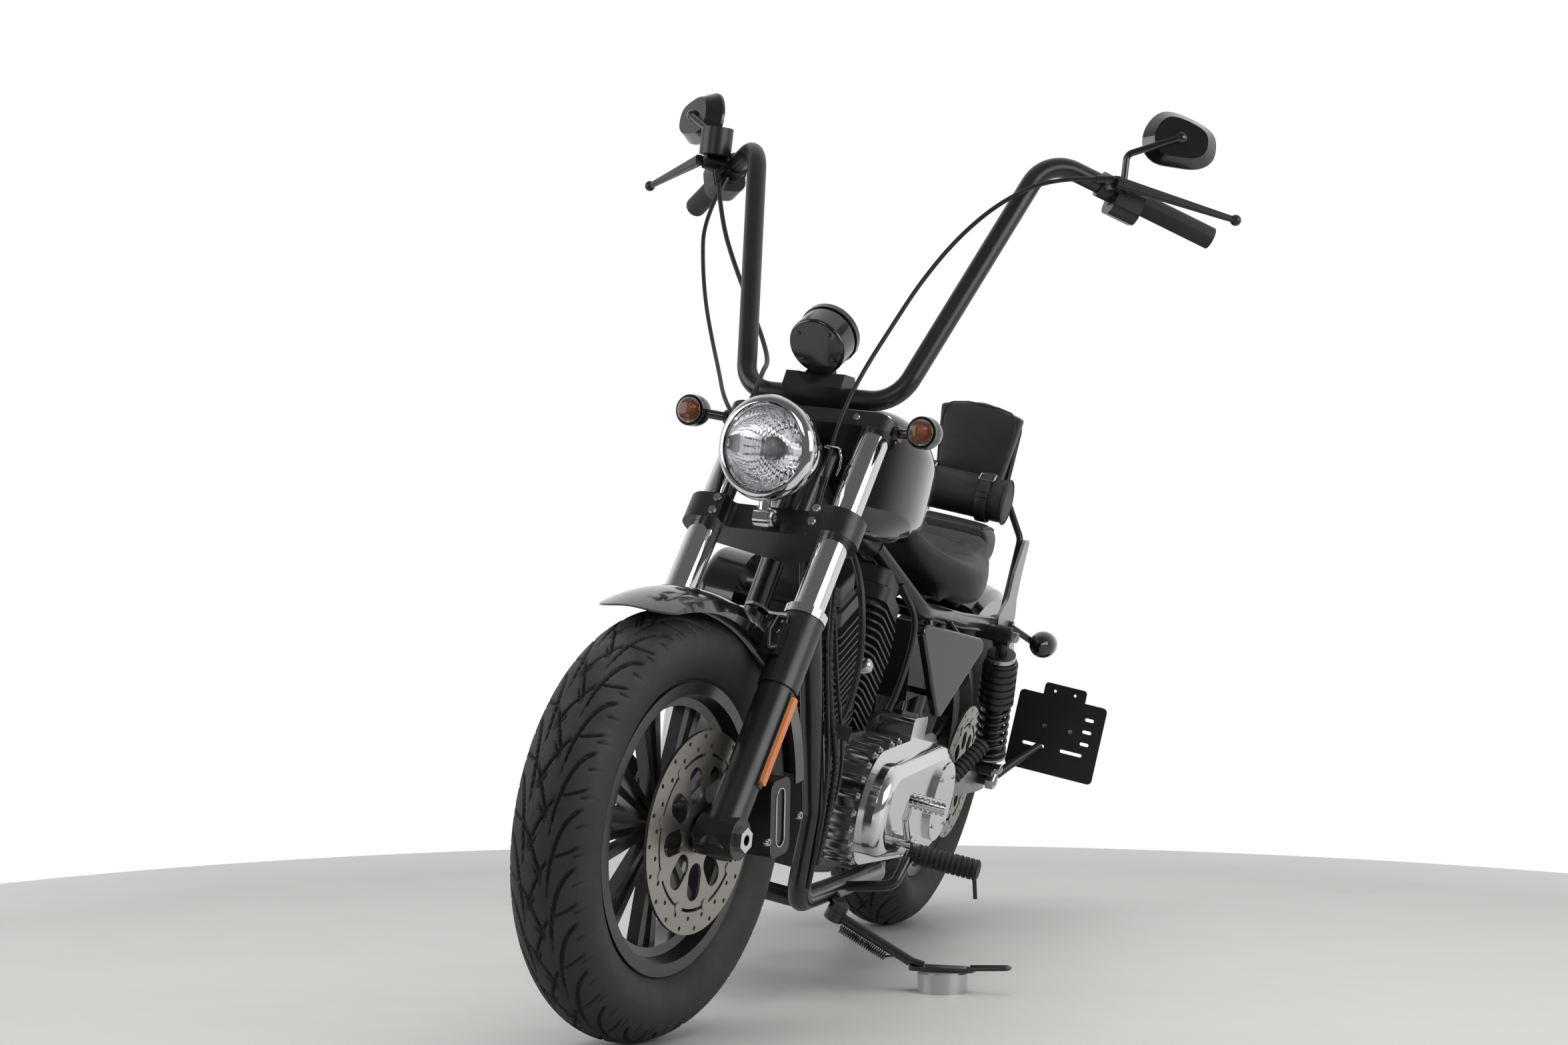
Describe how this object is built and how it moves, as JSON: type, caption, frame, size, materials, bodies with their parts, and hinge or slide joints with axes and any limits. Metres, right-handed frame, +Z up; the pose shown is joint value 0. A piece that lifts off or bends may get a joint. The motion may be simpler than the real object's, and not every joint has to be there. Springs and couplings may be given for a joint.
{
  "type": "cruiser motorcycle",
  "caption": "Middleweight cruiser motorcycle with high handlebar, air-cooled V engine, belt drive, back rest with roll bag, leaning on its side stand.",
  "frame": {"origin": "centre of the bounding box on the floor, under the parked motorcycle", "axes": "+X towards the front wheel, +Y to the rider's left, +Z up; the motorcycle leans to +Y on its side stand"},
  "size_m": [2.167, 1.1088, 1.5076],
  "materials": {
    "cast_wheel": "satin",
    "tyre": "matte",
    "brake_disc": "brushed",
    "pulley": "satin",
    "black_metal": "gloss",
    "satin_black": "satin",
    "chrome": "polished",
    "amber_lens": "gloss",
    "gloss_paint": "gloss",
    "gloss_black": "gloss",
    "clear_glass": "clear",
    "smoked_lens": "gloss",
    "rubber": "matte",
    "cable_rubber": "satin",
    "silver_paint": "satin",
    "engine_black": "satin",
    "polished_alloy": "polished",
    "seat_vinyl": "satin",
    "bag_leather": "satin",
    "belt_rubber": "matte",
    "peg_rubber": "matte",
    "pad_plastic": "matte"
  },
  "bodies": {
    "chassis": {"frame": "black_metal", "swingarm": "black_metal", "shocks": "satin_black", "shock_springs": "black_metal", "engine_case": "engine_black", "front_cylinder": "engine_black", "rear_cylinder": "engine_black", "rocker_covers": "engine_black", "primary_cover": "polished_alloy", "air_cleaner": "gloss_black", "exhaust": "chrome", "fuel_tank": "gloss_paint", "rider_seat": "seat_vinyl", "pillion_seat": "seat_vinyl", "side_covers": "gloss_black", "battery_box": "satin_black", "rear_fender": "gloss_paint", "sissy_bar": "satin_black", "sissy_plates": "silver_paint", "sissy_pad": "seat_vinyl", "roll_bag": "bag_leather", "drive_belt": "belt_rubber", "rider_pegs": "peg_rubber", "shift_linkage": "chrome", "passenger_pegs": "peg_rubber", "rear_signals": "gloss_black", "plate_holder": "satin_black", "stand_pad": "pad_plastic"},
    "front_wheel": {"front_rim": "cast_wheel", "front_tyre": "tyre", "front_disc": "brake_disc"},
    "rear_wheel": {"rear_rim": "cast_wheel", "rear_tyre": "tyre", "rear_disc": "brake_disc", "rear_pulley": "pulley"},
    "side_stand": {"side_stand": "black_metal"},
    "steering": {"fork_sliders": "satin_black", "fork_tubes": "chrome", "front_axle": "chrome", "fork_clamps": "satin_black", "front_caliper": "satin_black", "fork_reflectors": "amber_lens", "front_fender": "gloss_paint", "headlight_shell": "chrome", "headlight_lens": "clear_glass", "front_signals": "gloss_black", "front_signal_lenses": "smoked_lens", "handlebar": "satin_black", "grips": "rubber", "riser": "satin_black", "speedometer": "gloss_black", "left_control": "satin_black", "right_control": "satin_black", "levers": "satin_black", "mirrors": "gloss_black", "clutch_cable": "cable_rubber", "throttle_cables": "cable_rubber", "brake_hose": "cable_rubber"}
  },
  "joints": [
    {"name": "steering", "type": "hinge", "parent": "chassis", "child": "steering", "pos_m": [0.46287, -0.11365, 0.73794], "axis": [-0.5046, 0.1883, 0.8426], "range_deg": [-19, 45]},
    {"name": "front_wheel_spin", "type": "hinge", "parent": "steering", "child": "front_wheel", "pos_m": [0.76823, -0.21817, 0.31871], "axis": [0.1942, 0.9757, -0.1018], "continuous": true},
    {"name": "rear_wheel_spin", "type": "hinge", "parent": "chassis", "child": "rear_wheel", "pos_m": [-0.72573, -0.20769, 0.31724], "axis": [0, 0.9759, -0.2181], "continuous": true},
    {"name": "side_stand_fold", "type": "hinge", "parent": "chassis", "child": "side_stand", "pos_m": [0.16236, -0.11285, 0.124], "axis": [0.1394, 0.4977, 0.8561], "range_deg": [0, 72]}
  ]
}
